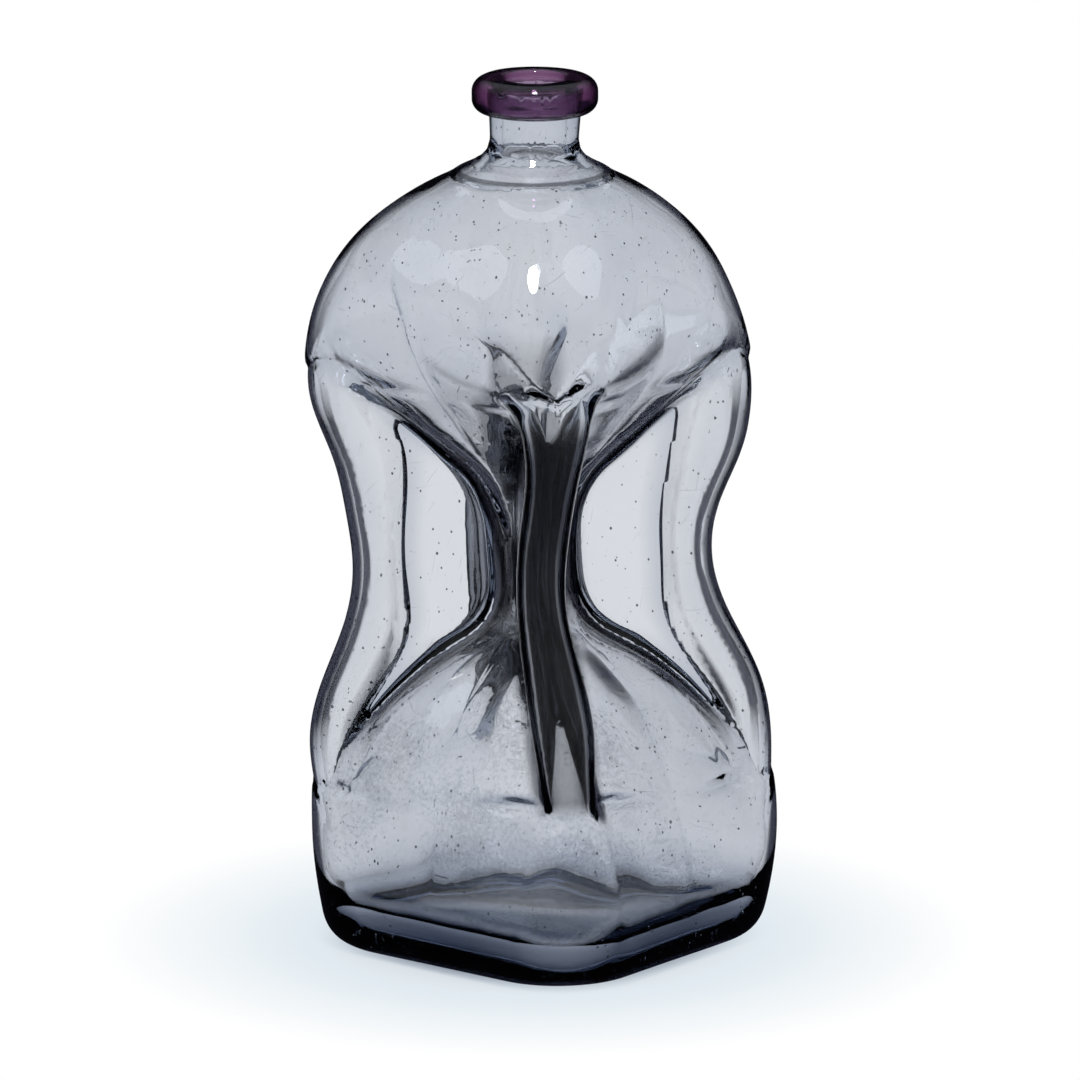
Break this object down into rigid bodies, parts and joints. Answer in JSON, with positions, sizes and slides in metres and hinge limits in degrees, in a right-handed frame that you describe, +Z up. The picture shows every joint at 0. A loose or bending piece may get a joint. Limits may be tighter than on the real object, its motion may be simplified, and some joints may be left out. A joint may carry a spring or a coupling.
{
  "type": "gurgling glass decanter with a pinched five-channel waist",
  "caption": "Blown glass decanter: two rounded-square bulbs joined by a central throat and corner tubes with pinched webs, a short neck and a purple lip ring.",
  "frame": {"origin": "middle of the foot, on the surface that the bottle stands on", "axes": "+Z up through the neck; the flat sides face X and Y, the corner tubes lie on the diagonals"},
  "size_m": [0.0971, 0.097, 0.23],
  "materials": {
    "body_glass": "gloss",
    "lip_glass": "gloss"
  },
  "bodies": {
    "root": {"upper_bulb": "body_glass", "funnel_floor": "body_glass", "throat_tube": "body_glass", "domed_top": "body_glass", "lower_bulb": "body_glass", "neck": "body_glass", "corner_tube_upper_back_right": "body_glass", "corner_tube_upper_back_left": "body_glass", "corner_tube_upper_front_left": "body_glass", "corner_tube_upper_front_right": "body_glass", "corner_tube_lower_back_right": "body_glass", "corner_tube_lower_back_left": "body_glass", "corner_tube_lower_front_left": "body_glass", "corner_tube_lower_front_right": "body_glass", "pinched_web_back_right": "body_glass", "pinched_web_back_left": "body_glass", "pinched_web_front_left": "body_glass", "pinched_web_front_right": "body_glass", "lip_ring": "lip_glass"}
  },
  "joints": []
}
